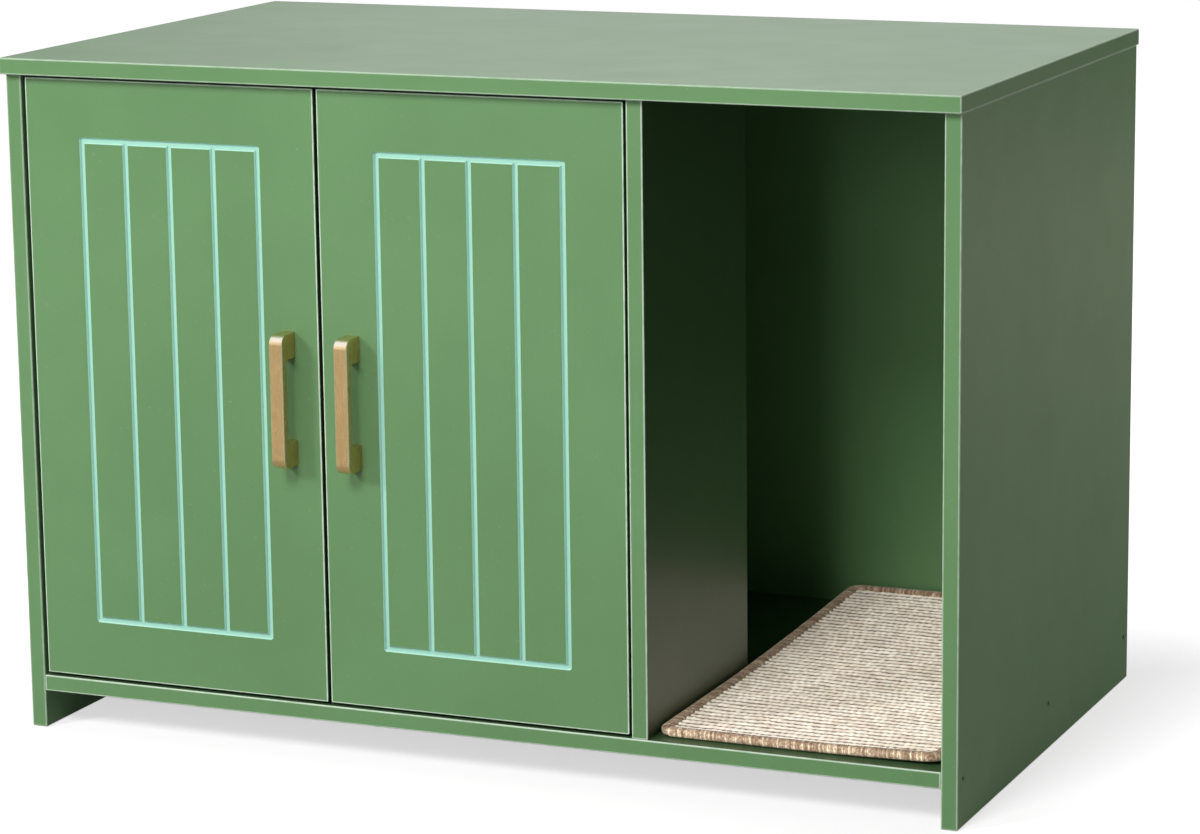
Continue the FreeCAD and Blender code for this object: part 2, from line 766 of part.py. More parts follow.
def pan_screw(start, direction, radius, length, head_radius, head):
    # Screw whose head sits on the surface at start. direction points out of the surface.
    start = Vector(*start)
    out = Vector(*direction)
    shank = Part.makeCylinder(radius, length, start, out * -1)
    cap = Part.makeCylinder(head_radius, head, start, out)
    top_edge = [e for e in cap.Edges if abs((e.CenterOfMass - start).dot(out) - head) < pick
                and e.BoundBox.DiagonalLength > head_radius]
    cap = cap.makeFillet(head_ease * head, top_edge)
    depth = socket_depth_share * head
    socket = Part.makeCylinder(socket_radius_share * head_radius, depth, start + out * (head - depth), out)
    return fused([shank, cap]).cut(socket)


def plate_screws():
    return [pan_screw((plate_base, plate_line, dz), (1, 0, 0), plate_screw_radius, blind_depth + plate_base,
                      plate_screw_head_radius, plate_screw_head)
            for dz in (-plate_screw_spacing / 2, plate_screw_spacing / 2)]


def cup_screws():
    rim = board + flange_thickness
    return [pan_screw((u, rim, z), (0, 1, 0), cup_screw_radius, blind_depth + flange_thickness,
                      cup_screw_head_radius, cup_screw_head) for u, z in cup_screw_places(0)]


def arm_screws():
    return [pan_screw((arm_rise, arm_screw_line, 0), (1, 0, 0), arm_screw_radius, arm_rise - plate_base,
                      arm_screw_head_radius, arm_screw_head)]


def placed(pieces, face, direction):
    # Copies of one hinge's pieces at both levels. A direction of -1 mirrors them.
    copies = []
    for z in hinge_levels:
        for piece in pieces:
            copy = piece if direction > 0 else piece.mirror(Vector(0, 0, 0), Vector(1, 0, 0))
            copies.append(copy.translated(Vector(face, door_front, z)))
    return group(copies)


# ---------------------------------------------------------------- magnetic catches
def catch_middle(hinge_sign):
    return meeting_line - hinge_sign * catch_from_meeting


def catch_middles():
    return (catch_middle(1), catch_middle(-1))


def catch_screw_offsets():
    return (catch_screw_inset - catch_width / 2, catch_width / 2 - catch_screw_inset)


def strike_screw_offsets():
    return (strike_screw_inset - strike_width / 2, strike_width / 2 - strike_screw_inset)


def catch_face():
    return door_back + strike_thickness + strike_gap


def catch_line():
    return catch_face() + catch_depth / 2


def strike_level():
    return door_top - edge_ease - strike_height / 2


def catch_magnet(x):
    level = under_top - magnet_below_top
    return box(x - magnet_width / 2, x + magnet_width / 2, catch_face(), catch_face() + magnet_depth,
               level - magnet_height / 2, level + magnet_height / 2)


def catch_bodies():
    bodies = []
    ear_low = under_top - catch_ear_thickness
    for x in catch_middles():
        half = catch_width / 2
        ears = box(x - half, x + half, catch_face() + catch_ear_setback, catch_face() + catch_depth,
                   ear_low, under_top)
        housing = box(x - half + catch_ear, x + half - catch_ear, catch_face() + catch_nose_setback,
                      catch_face() + catch_depth, under_top - catch_height, under_top)
        body = fused([ears, eased(housing, catch_ease)])
        holes = [rod(catch_screw_radius, (x + dx, catch_line(), ear_low), (x + dx, catch_line(), under_top))
                 for dx in catch_screw_offsets()]
        bodies.append(body.cut(holes + [catch_magnet(x)]))
    return group(bodies)


def catch_magnets():
    return group([catch_magnet(x) for x in catch_middles()])


def catch_screws():
    screws = []
    for x in catch_middles():
        for dx in catch_screw_offsets():
            screws.append(pan_screw((x + dx, catch_line(), under_top - catch_ear_thickness), (0, 0, -1),
                                    catch_screw_radius, blind_depth + catch_ear_thickness,
                                    catch_screw_head_radius, catch_screw_head))
    return group(screws)


def strike_plate(hinge_sign):
    x = catch_middle(hinge_sign)
    plate = box(x - strike_width / 2, x + strike_width / 2, door_back, door_back + strike_thickness,
                strike_level() - strike_height / 2, strike_level() + strike_height / 2)
    corners = [e for e in plate.Edges if e.BoundBox.YLength > strike_thickness / 2]
    plate = plate.makeFillet(strike_corner, corners)
    z = strike_level()
    y = door_back + strike_thickness
    holes = []
    for dx in strike_screw_offsets():
        holes.append(rod(strike_screw_head_radius, (x + dx, y - strike_screw_head, z), (x + dx, y, z)))
        holes.append(rod(strike_screw_radius, (x + dx, door_back, z), (x + dx, y, z)))
    return plate.cut(holes)


def strike_screws(hinge_sign):
    x = catch_middle(hinge_sign)
    y = door_back + strike_thickness
    z = strike_level()
    screws = []
    for dx in strike_screw_offsets():
        shank = rod(strike_screw_radius, (x + dx, door_back - blind_depth, z), (x + dx, y, z))
        head = rod(strike_screw_head_radius, (x + dx, y - strike_screw_head, z), (x + dx, y, z))
        screws.append(fused([shank, head]))
    return group(screws)


# ---------------------------------------------------------------- mat
def mat_slab(inset, low, high):
    return rounded_slab(divider_right + mat_left_gap + inset, inner - mat_right_gap - inset,
                        front + mat_front + inset, rear - mat_back_gap - inset, low, high, mat_corner - inset)


def mat_pile():
    low = floor_top + mat_lift
    return mat_slab(mat_binding_width, low, low + mat_pile_height)


def mat_binding():
    low = floor_top + mat_lift
    high = low + mat_binding_height
    ring = mat_slab(0, low, high)
    rims = [e for e in ring.Edges if e.BoundBox.ZLength < mat_lift]
    ring = ring.makeFillet(mat_binding_round, rims)
    return ring.cut(mat_slab(mat_binding_width, low, high))


# ---------------------------------------------------------------- every sub-part
def main():
    os.makedirs("parts", exist_ok=True)
    save("top_panel", top_panel())
    save("left_side_panel", side_panel(-1))
    save("right_side_panel", side_panel(1))
    save("floor_panel", floor_panel())
    save("divider_panel", divider_panel())
    save("back_panel", back_panel())
    save("back_panel_nails", back_panel_nails())
    save("floor_screws", floor_screws())
    save("divider_screws", divider_screws())
    save("dowels", dowels())
    save("cam_bolts", cam_bolts())
    save("cam_locks", cam_locks())
    save("catch_bodies", catch_bodies())
    save("catch_magnets", catch_magnets())
    save("catch_screws", catch_screws())
    hinge_pieces = {
        "hinge_cups": [cup()],
        "hinge_cup_pins": cup_pins(),
        "hinge_cup_screws": cup_screws(),
        "hinge_inner_links": [inner_link()],
        "hinge_outer_links": outer_links(),
        "hinge_arms": [arm()],
        "hinge_arm_pins": arm_pins(),
        "hinge_arm_screws": arm_screws(),
        "hinge_plates": [mounting_plate()],
        "hinge_plate_screws": plate_screws(),
    }
    leaves = (("left", left_door_start, -inner, 1), ("right", right_door_start, divider_left, -1))
    for side, start, face, sign in leaves:
        middle = handle_middle(start, sign)
        save(side + "_door", door(start, sign, face))
        save(side + "_handle", handle(middle))
        save(side + "_handle_screws", handle_screws(middle))
        save(side + "_strike_plate", strike_plate(sign))
        save(side + "_strike_screws", strike_screws(sign))
        for name, pieces in hinge_pieces.items():
            save(side + "_" + name, placed(pieces, face, sign))
    save("mat_pile", mat_pile())
    save("mat_binding", mat_binding())


main()
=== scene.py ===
from math import cos, pi, radians, sin

import bpy
import numpy as np
from mathutils import Matrix, Vector


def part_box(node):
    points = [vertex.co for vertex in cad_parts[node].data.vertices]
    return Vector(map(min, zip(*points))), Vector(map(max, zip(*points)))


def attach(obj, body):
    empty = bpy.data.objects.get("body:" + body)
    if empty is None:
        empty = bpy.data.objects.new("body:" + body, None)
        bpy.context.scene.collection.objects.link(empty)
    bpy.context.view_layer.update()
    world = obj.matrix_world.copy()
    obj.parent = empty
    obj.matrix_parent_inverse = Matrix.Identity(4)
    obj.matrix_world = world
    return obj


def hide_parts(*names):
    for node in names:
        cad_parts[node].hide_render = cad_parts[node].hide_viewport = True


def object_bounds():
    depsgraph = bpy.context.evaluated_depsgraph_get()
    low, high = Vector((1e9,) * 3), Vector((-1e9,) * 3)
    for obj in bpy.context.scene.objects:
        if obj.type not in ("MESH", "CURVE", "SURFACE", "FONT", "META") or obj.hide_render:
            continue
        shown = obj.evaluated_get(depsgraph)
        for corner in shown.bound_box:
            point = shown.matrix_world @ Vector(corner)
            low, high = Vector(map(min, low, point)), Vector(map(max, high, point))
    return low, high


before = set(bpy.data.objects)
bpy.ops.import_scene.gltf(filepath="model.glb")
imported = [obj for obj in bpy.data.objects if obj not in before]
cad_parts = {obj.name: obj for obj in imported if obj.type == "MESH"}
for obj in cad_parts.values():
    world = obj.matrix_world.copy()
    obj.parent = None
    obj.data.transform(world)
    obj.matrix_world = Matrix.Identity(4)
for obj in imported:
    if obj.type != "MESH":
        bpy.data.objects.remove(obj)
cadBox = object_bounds()
millimetre = 0.001


class Wire:
    # Wraps one output socket. Sums, differences and products add Math nodes.
    def __init__(self, socket):
        self.socket = socket

    def node(self, kind, settings, inputs, output=0):
        # Adds any node: its settings first, then socket values or links.
        tree = self.socket.id_data
        made = tree.nodes.new(kind)
        for key, value in settings.items():
            if key == "stops":
                setStops(made.color_ramp, value)
            else:
                setattr(made, key, value)
        for key, value in inputs.items():
            if isinstance(value, Wire):
                tree.links.new(value.socket, made.inputs[key])
            else:
                made.inputs[key].default_value = value
        return Wire(made.outputs[output])

    def calc(self, operation, other=0.0):
        return self.node("ShaderNodeMath", {"operation": operation}, {0: self, 1: other})

    def __add__(self, other):
        return self.calc("ADD", other)

    def __sub__(self, other):
        return self.calc("SUBTRACT", other)

    def __rsub__(self, other):
        return self.node("ShaderNodeMath", {"operation": "SUBTRACT"}, {0: other, 1: self})

    def __mul__(self, other):
        return self.calc("MULTIPLY", other)

    def ramp(self, low, high, start=0.0, end=1.0):
        # Smooth step: start where this value is at low, end where it is at high.
        return self.node("ShaderNodeMapRange", {"interpolation_type": "SMOOTHSTEP"},
                         {"Value": self, "From Min": low, "From Max": high,
                          "To Min": start, "To Max": end})

    def mixed(self, first, second):
        # Colour first where this value is 0 and second where it is 1.
        return self.node("ShaderNodeMix", {"data_type": "RGBA"}, {0: self, 6: first, 7: second}, 2)

    def noise(self, size, detail=2.0, rough=0.5, stretch=(1.0, 1.0, 1.0)):
        # Noise with features of this size in metres. stretch lengthens them along an axis.
        scale = tuple(1.0 / s for s in stretch)
        place = self.node("ShaderNodeVectorMath", {"operation": "MULTIPLY"}, {0: self, 1: scale})
        return self.node("ShaderNodeTexNoise", {}, {"Vector": place, "Scale": 1.0 / size,
                                                    "Detail": detail, "Roughness": rough})

    def bumped(self, strength, distance):
        return self.node("ShaderNodeBump", {}, {"Height": self, "Strength": strength,
                                                "Distance": distance})


def setStops(ramp, stops):
    while len(ramp.elements) < len(stops):
        ramp.elements.new(1.0)
    for element, (place, colour) in zip(ramp.elements, stops):
        element.position = place
        element.color = colour


def newFinish(name):
    # An empty material, its Object coordinates and its shader.
    material = bpy.data.materials.new(name)
    material.use_nodes = True
    nodes = material.node_tree.nodes
    coords = Wire(nodes.new("ShaderNodeTexCoord").outputs["Object"])
    return material, coords, nodes["Principled BSDF"]


def connect(shader, **values):
    # Links or sets the shader's sockets. Underscores in names stand for spaces.
    tree = shader.id_data
    for key, value in values.items():
        socket = shader.inputs[key.replace("_", " ")]
        if isinstance(value, Wire):
            tree.links.new(value.socket, socket)
        else:
            socket.default_value = value


def srgb(red, green, blue):
    # Linear colour of 8-bit screen values.
    part = np.array([red, green, blue]) / 255.0
    linear = np.where(part <= 0.04045, part / 12.92, ((part + 0.055) / 1.055) ** 2.4)
    return tuple(float(v) for v in linear) + (1.0,)


def axes(coords):
    split = coords.node("ShaderNodeSeparateXYZ", {}, {0: coords})
    outputs = split.socket.node.outputs
    return [Wire(outputs[i]) for i in range(3)]


def coat(node, material):
    # Gives a CAD node its finish.
    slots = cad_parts[node].data.materials
    slots.clear()
    slots.append(material)


camera = {
    "place": (1.42912, -3.27407, 1.01428),
    "target": (0.01400, 0.01220, 0.27291),
    "roll": -0.6825,        # degrees
    "lens": 118.45,
}


def makeCamera(spec):
    data = bpy.data.cameras.new("camera")
    data.lens = spec["lens"]
    data.clip_end = 60.0
    place = Vector(spec["place"])
    turn = (Vector(spec["target"]) - place).to_track_quat("-Z", "Y").to_matrix()
    turn = turn @ Matrix.Rotation(radians(spec["roll"]), 3, "Z")
    eye = bpy.data.objects.new("camera", data)
    eye.matrix_world = Matrix.Translation(place) @ turn.to_4x4()
    bpy.context.collection.objects.link(eye)
    bpy.context.scene.camera = eye


makeCamera(camera)
print("camera placed")


studio = {
    "ambient": 0.06,        # even light from the room
    "mirrored": (0.42, 0.97),   # room as gloss shows it, on the right and on the left
    "rightFrom": (-0.1, 0.4),   # sideways parts of a ray between which left turns into right
    "farLeft": 0.45,        # share of the mirrored room far to the left behind the cabinet
    "farFrom": (-0.58, -0.40),
    "warm": (1.0, 0.94, 0.80, 1.0),     # tint of what gloss shows on the right
    "floorShade": 0.52,     # floor's own colour, seen
    "floorGlow": 0.62,      # added where the floor is seen
    "floorMirrored": 0.06,  # added where it is mirrored
    "floorGlowBeyondShadow": 0.34,      # further glow away from the cabinet; less of it near the cabinet paints a shadow round and under it
    "floorBounce": 0.35,    # floor's colour as it lights the cabinet
    "floorHalf": 20.0,
    "lamps": {
        # turn from the front and height in degrees, distance, size, light
        "key": (-39.0, 26.0, 4.2, 0.8, 0.42),
        "overhead": (-4.0, 41.0, 4.0, 1.1, 0.54),
        "front": (1.5, 14.0, 4.6, 1.2, 0.18),
        "rear": (152.0, 20.0, 4.5, 1.6, 0.42),
    },
    "matFill": (2.0, 36.0, 6.5, 1.4, 0.55),     # lights the mat alone, deep in its bay
    "aim": (0.05, -0.10, 0.28),
}


def makeLamp(name, turn, height, distance, size, light):
    # Square lamp. light is how bright it makes a white card that faces it. Gloss shows the
    # plain room in its place, so that no view of the lacquer has a burnt-out patch.
    data = bpy.data.lights.new(name, "AREA")
    data.size = size
    data.energy = light * (pi * distance) ** 2
    turn, height = radians(turn), radians(height)
    away = Vector((sin(turn) * cos(height), -cos(turn) * cos(height), sin(height)))
    lamp = bpy.data.objects.new(name, data)
    facing = (-away).to_track_quat("-Z", "Y").to_matrix().to_4x4()
    lamp.matrix_world = Matrix.Translation(Vector(studio["aim"]) + away * distance) @ facing
    lamp.visible_camera = False
    lamp.visible_glossy = False
    bpy.context.collection.objects.link(lamp)
    return lamp


def seenRays(tree):
    # 1 for rays that come straight to the camera, and 1 for mirrored ones and those through glass.
    path = tree.nodes.new("ShaderNodeLightPath").outputs
    mirrored = Wire(path["Is Glossy Ray"]) + Wire(path["Is Transmission Ray"])
    return Wire(path["Is Camera Ray"]), mirrored


def makeWorld(spec):
    world = bpy.data.worlds.new("studio")
    world.use_nodes = True
    tree = world.node_tree
    background = tree.nodes["Background"]
    straight, mirrored = seenRays(tree)
    right, behind = axes(Wire(tree.nodes.new("ShaderNodeTexCoord").outputs["Generated"]))[:2]
    dim, bright = spec["mirrored"]
    shown = right.ramp(*spec["rightFrom"], bright, dim)
    side = mirrored * right.ramp(*spec["rightFrom"])
    tint = side.mixed((1.0, 1.0, 1.0, 1.0), spec["warm"])
    corner = right.ramp(*spec["farFrom"], 1.0, 0.0) * behind.calc("GREATER_THAN")
    shown = shown * (1.0 - corner * (1.0 - spec["farLeft"]))
    ambient = spec["ambient"]
    strength = straight * (1.0 - ambient) + mirrored * (shown - ambient) + ambient
    tree.links.new(tint.socket, background.inputs["Color"])
    tree.links.new(strength.socket, background.inputs["Strength"])
    bpy.context.scene.world = world


def makeFloor(spec):
    half = spec["floorHalf"]
    mesh = bpy.data.meshes.new("studioFloor")
    mesh.from_pydata([(-half, -half, 0), (half, -half, 0), (half, half, 0), (-half, half, 0)],
                     [], [(0, 1, 2, 3)])
    floor = bpy.data.objects.new("studioFloor", mesh)
    bpy.context.collection.objects.link(floor)
    material, coords, shader = newFinish("studioFloor")
    tree = material.node_tree
    straight, mirrored = seenRays(tree)
    shade = straight * (spec["floorShade"] - spec["floorBounce"]) + spec["floorBounce"]
    shade = shade + (coords.noise(0.02, 3.0) * 0.02 - 0.01)
    x, y = axes(coords)[:2]
    beside = x.calc("ABSOLUTE") - cadBox[1][0]
    before = y.calc("ABSOLUTE") - cadBox[1][1]
    distance = beside.calc("MAXIMUM", before)
    # Painted shadow: the floor glows less near and under the cabinet.
    beyondShadow = distance.ramp(-0.02, 0.30, 0.0, spec["floorGlowBeyondShadow"])
    tone = shade.node("ShaderNodeCombineColor", {}, {"Red": shade, "Green": shade, "Blue": shade})
    tone = tone.node("ShaderNodeMix", {"data_type": "RGBA", "blend_type": "MULTIPLY"},
                     {0: mirrored, 6: tone, 7: spec["warm"]}, 2)
    connect(shader, Base_Color=tone, Roughness=0.9, Specular_IOR_Level=0.0)
    glow = straight * (beyondShadow + spec["floorGlow"]) + mirrored * spec["floorMirrored"]
    glow = glow.node("ShaderNodeEmission", {}, {"Color": (1.0, 0.99, 1.0, 1.0), "Strength": glow})
    total = tree.nodes.new("ShaderNodeAddShader")
    tree.links.new(shader.outputs[0], total.inputs[0])
    tree.links.new(glow.socket, total.inputs[1])
    tree.links.new(total.outputs[0], tree.nodes["Material Output"].inputs["Surface"])
    mesh.materials.append(material)


makeWorld(studio)
makeFloor(studio)
for lampName, lampFacts in studio["lamps"].items():
    makeLamp(lampName, *lampFacts)
bpy.context.scene.view_settings.view_transform = "Standard"
print("studio lit")


board = {
    "green": srgb(105, 145, 98),
    "greenDeep": srgb(100, 139, 93),
    "shaded": srgb(52, 76, 48),         # painted shade on two faces inside and on the door rims
    "shadedFaces": {"floor_panel": (2, 0.80), "divider_panel": (0, 0.88)},  # axis, amount
    "shadedRims": 0.8,
    "fleck": 2.2 * millimetre,          # size of the pale flecks
    "highlightBreaks": 14 * millimetre,            # and of the breaks in the painted edge highlights
    "smudge": 55 * millimetre,          # and of the changes in gloss
    "edge": srgb(222, 238, 220),        # painted highlight along every eased edge; also the pale flecks' tone
    "edgeWidth": 1.8 * millimetre,
    "edgeAmount": {"top_panel": 0.48, "left_side_panel": 0.42, "right_side_panel": 0.55,
                   "floor_panel": 0.75, "divider_panel": 0.75, "back_panel": 0.4,
                   "left_door": 1.0, "right_door": 1.0},
    "roughness": 0.38,
    "roughnessSpread": 0.10,
    "grain": 0.9 * millimetre,          # size of the lacquer's fine texture
    "grainHeight": 0.025 * millimetre,
    "mottle": 160 * millimetre,
}

groove = {
    "mint": srgb(190, 232, 216),
    "mintDeep": srgb(154, 206, 188),
    "start": 0.15 * millimetre,         # paint begins this far below the door's face
    "rim": 30 * millimetre,             # no groove is nearer to the door's outline
    "floor": 2.6 * millimetre,
}


def nearFaces(value, low, high, width):
    # 1 on a board's two opposite faces and 0 further in than width.
    depth = (value - low).calc("MINIMUM", high - value)
    return depth.ramp(0.45 * width, width, 1.0, 0.0)


def edgeLine(place, low, high, width):
    # 1 where two of the three pairs of faces meet.
    x, y, z = [nearFaces(place[i], low[i], high[i], width) for i in range(3)]
    total = x * y + y * z + x * z
    return total.calc("MINIMUM", 1.0)


def boardFinish(node, hasGrooves=False):
    # Satin green lacquer: faint cloudy tone, fine orange peel, a painted highlight on each edge and
    # painted shade inside.
    material, coords, shader = newFinish(node + "Lacquer")
    low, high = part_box(node)
    place = axes(coords)
    cloud = coords.noise(board["mottle"], 3.0, 0.55).ramp(0.3, 0.7)
    fine = coords.noise(board["grain"], 2.0)
    colour = cloud.mixed(board["green"], board["greenDeep"])
    fleck = coords.noise(board["fleck"], 2.0).ramp(0.66, 0.80) * 0.10
    colour = fleck.mixed(colour, board["edge"])
    # Painted highlight along the eased edges, broken up by noise; on the doors only round the front
    # face.
    highlightBreaks = coords.noise(board["highlightBreaks"], 3.0).ramp(0.25, 0.6, 0.7, 1.0)
    edgeHighlight = edgeLine(place, low, high, board["edgeWidth"]) * highlightBreaks * board["edgeAmount"][node]
    if hasGrooves:
        behindFace = (place[1] - low[1]).ramp(0.2 * millimetre, 0.6 * millimetre)
        edgeHighlight = edgeHighlight * (1.0 - behindFace)
        # Painted shade on the door's rims, behind its front face.
        rimShade = behindFace * (high[1] - place[1]).calc("GREATER_THAN", 0.2 * millimetre)
        colour = (rimShade * board["shadedRims"]).mixed(colour, board["shaded"])
    colour = edgeHighlight.mixed(colour, board["edge"])
    smudge = coords.noise(board["smudge"], 4.0, 0.6)
    spread = board["roughnessSpread"]
    rough = smudge * spread + (board["roughness"] - spread / 2)
    # Painted shade on the floor panel's upper face and the divider's right-hand face.
    if node in board["shadedFaces"]:
        axis, amount = board["shadedFaces"][node]
        face = place[axis].calc("GREATER_THAN", high[axis] - 0.1 * millimetre)
        colour = (face * (fine * 0.1 + (amount - 0.05))).mixed(colour, board["shaded"])
    if hasGrooves:
        depth = place[1] - low[1]
        inside = depth.ramp(groove["start"], 2 * groove["start"]) * depth.ramp(
            groove["floor"], groove["floor"] + groove["start"], 1.0, 0.0)
        for i in (0, 2):
            border = (place[i] - low[i]).calc("MINIMUM", high[i] - place[i])
            inside = inside * border.calc("GREATER_THAN", groove["rim"])
        # Painted shade: the mint darkens towards the groove's bottom, plus a little random tone
        # from the grain.
        grooveShade = depth.ramp(0.6 * millimetre, 2.3 * millimetre)
        mint = (grooveShade * 0.7 + fine * 0.3).mixed(groove["mint"], groove["mintDeep"])
        colour = inside.mixed(colour, mint)
        rough = rough + inside * 0.12
    connect(shader, Base_Color=colour, Roughness=rough,
            Normal=fine.bumped(0.6, board["grainHeight"]), Specular_IOR_Level=0.45,
            Coat_Weight=0.15, Coat_Roughness=0.22)
    coat(node, material)


for boardNode in ("top_panel", "left_side_panel", "right_side_panel", "floor_panel",
                  "divider_panel", "back_panel"):
    boardFinish(boardNode)
for doorNode in ("left_door", "right_door"):
    boardFinish(doorNode, hasGrooves=True)
print("boards lacquered")


handleLook = {
    "gold": srgb(254, 222, 166),
    "goldDeep": srgb(240, 206, 150),
    "goldSideShade": srgb(234, 184, 126),    # painted shade on its sides
    "glint": srgb(255, 250, 238),       # painted highlight on the grip's front edges and its upper bend
    # width of the painted highlight along the grip's front edges
    "edgeGlint": 1.0 * millimetre,
    "bend": 6.0 * millimetre,
    "roughness": 0.29,
    "brushWidth": 0.35 * millimetre,
    "brushLength": 60.0,                # brush marks are this many times longer than wide
    "brushHeight": 0.012 * millimetre,
}


def goldFinish(node):
    # Brushed gold: long fine scratches along the grip, in the tone, the gloss and the relief,
    # a painted highlight down each front edge of the grip and over its upper bend, and painted
    # shade on its sides.
    material, coords, shader = newFinish(node + "Gold")
    low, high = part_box(node)
    x, y, z = axes(coords)
    marks = coords.noise(handleLook["brushWidth"], 3.0, 0.6, (1.0, 1.0, handleLook["brushLength"]))
    patches = coords.noise(9 * millimetre, 2.0)
    mix = (marks * 0.6 + patches * 0.4).ramp(0.3, 0.7)
    colour = mix.mixed(handleLook["gold"], handleLook["goldDeep"])
    side = (x - low[0]).calc("MINIMUM", high[0] - x)
    width, bend = handleLook["edgeGlint"], handleLook["bend"]
    # Painted shade on the grip's sides.
    colour = side.ramp(0.1 * width, 0.4 * width, 0.8, 0.0).mixed(colour, handleLook["goldSideShade"])
    front = y - low[1]
    # Painted highlight down the grip's front edges and over its upper bend.
    edgeGlint = side.ramp(0.5 * width, width, 1.0, 0.0) * front.ramp(0.5 * width, width, 1.0, 0.0)
    bendGlint = (high[2] - z).ramp(0.8 * bend, 1.1 * bend, 1.0, 0.0)
    bendGlint = bendGlint * front.ramp(0.6 * bend, bend, 1.0, 0.0) * side.ramp(0.1 * width, 0.6 * width)
    edgeGlint = edgeGlint.calc("MAXIMUM", bendGlint * 0.85)
    colour = (edgeGlint * (patches * 0.3 + 0.8)).mixed(colour, handleLook["glint"])
    rough = marks * 0.16 + patches * 0.06 + (handleLook["roughness"] - 0.11)
    connect(shader, Base_Color=colour, Metallic=1.0, Roughness=rough,
            Normal=marks.bumped(0.5, handleLook["brushHeight"]))
    return material


fittings = {
    # tone, deeper tone, roughness, size of the texture in mm, its height in mm
    "nickel": (srgb(200, 196, 188), srgb(176, 172, 164), 0.26, 1.4, 0.010),
    "zinc": (srgb(196, 198, 200), srgb(168, 170, 174), 0.34, 1.0, 0.015),
    "castZinc": (srgb(164, 166, 168), srgb(136, 138, 142), 0.50, 0.8, 0.040),
}
screwHead = 0.8 * millimetre


def metalFinish(name):
    # Plated metal with fine spangle in its tone, its gloss and its relief. Part of it scatters
    # light as a satin plating does.
    tone, deep, roughness, size, height = fittings[name]
    material, coords, shader = newFinish(name)
    spangle = coords.noise(size * millimetre, 3.0, 0.6)
    haze = coords.noise(8 * millimetre, 2.0)
    colour = (spangle * 0.5 + haze * 0.5).ramp(0.3, 0.7).mixed(tone, deep)
    connect(shader, Base_Color=colour, Metallic=0.6, Roughness=haze * 0.14 + (roughness - 0.07),
            Normal=spangle.bumped(0.5, height * millimetre))
    return material


plain = {
    # tone, deeper tone, roughness, size of the texture in mm, its height in mm, stretch along z
    "catchPlastic": (srgb(92, 70, 52), srgb(78, 58, 42), 0.55, 0.7, 0.04, 1.0),
    "ferrite": (srgb(58, 58, 60), srgb(44, 44, 46), 0.70, 0.5, 0.05, 1.0),
    "beech": (srgb(206, 172, 128), srgb(180, 142, 98), 0.65, 0.9, 0.10, 14.0),
}


def plainFinish(name):
    # Moulded plastic, sintered magnet or turned wood, each with its own grain.
    tone, deep, roughness, size, height, stretch = plain[name]
    material, coords, shader = newFinish(name)
    grain = coords.noise(size * millimetre, 3.0, 0.6, (1.0, 1.0, stretch))
    colour = grain.ramp(0.3, 0.7).mixed(tone, deep)
    connect(shader, Base_Color=colour, Roughness=grain * 0.12 + (roughness - 0.06),
            Normal=grain.bumped(0.5, height * millimetre))
    return material


def screwFinish():
    # Zinc shank under a head lacquered like the board it sits in.
    material, coords, shader = newFinish("lacqueredScrew")
    x = axes(coords)[0]
    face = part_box("right_side_panel")[1][0]
    head = x.calc("ABSOLUTE").calc("GREATER_THAN", face - screwHead)
    spangle = coords.noise(1.0 * millimetre, 3.0, 0.6)
    zinc = spangle.ramp(0.3, 0.7).mixed(fittings["zinc"][0], fittings["zinc"][1])
    green = spangle.ramp(0.3, 0.7).mixed(board["green"], board["greenDeep"])
    connect(shader, Base_Color=head.mixed(zinc, green), Metallic=1.0 - head,
            Roughness=spangle * 0.1 + 0.35, Normal=spangle.bumped(0.4, 0.02 * millimetre))
    return material


def dressFittings():
    metals = {name: metalFinish(name) for name in fittings}
    others = {name: plainFinish(name) for name in plain}
    coat("cam_locks", metals["castZinc"])
    for node in ("back_panel_nails", "divider_screws", "catch_screws", "cam_bolts"):
        coat(node, metals["zinc"])
    coat("floor_screws", screwFinish())
    coat("dowels", others["beech"])
    coat("catch_bodies", others["catchPlastic"])
    coat("catch_magnets", others["ferrite"])
    for side in ("left_", "right_"):
        coat(side + "handle", goldFinish(side + "handle"))
        for node in ("handle_screws", "strike_plate", "strike_screws", "hinge_cup_screws",
                     "hinge_arm_screws", "hinge_plate_screws"):
            coat(side + node, metals["zinc"])
        for node in ("hinge_cups", "hinge_cup_pins", "hinge_inner_links", "hinge_outer_links",
                     "hinge_arms", "hinge_arm_pins", "hinge_plates"):
            coat(side + node, metals["nickel"])


dressFittings()
print("fittings finished")


def latticeNoise(x, y, cell, seed):
    # Smooth random height: random values on a square lattice, eased between their corners.
    table = np.random.default_rng(seed).random((256, 256))
    gx, gy = x / cell, y / cell
    ix, iy = np.floor(gx).astype(int), np.floor(gy).astype(int)
    fx, fy = gx - ix, gy - iy
    fx, fy = fx * fx * (3 - 2 * fx), fy * fy * (3 - 2 * fy)
    low = table[ix % 256, iy % 256] * (1 - fx) + table[(ix + 1) % 256, iy % 256] * fx
    high = table[ix % 256, (iy + 1) % 256] * (1 - fx) + table[(ix + 1) % 256, (iy + 1) % 256] * fx
    return low * (1 - fy) + high * fy


def newPiece(name, verts, faces, material, shades=None, sheetCoords=None):
    # Mesh object from whole arrays, with an optional shade per point and UV per point.
    mesh = bpy.data.meshes.new(name)
    mesh.from_pydata(verts, [], faces)
    mesh.shade_smooth()
    if shades is not None:
        mesh.attributes.new("shade", "FLOAT", "POINT").data.foreach_set("value", shades.ravel())
    if sheetCoords is not None:
        corner = np.empty(len(mesh.loops), dtype=np.int32)
        mesh.loops.foreach_get("vertex_index", corner)
        layer = mesh.uv_layers.new(name="along")
        layer.data.foreach_set("uv", sheetCoords[corner].astype(np.float32).ravel())
    mesh.materials.append(material)
    piece = bpy.data.objects.new(name, mesh)
    bpy.context.collection.objects.link(piece)
    return piece


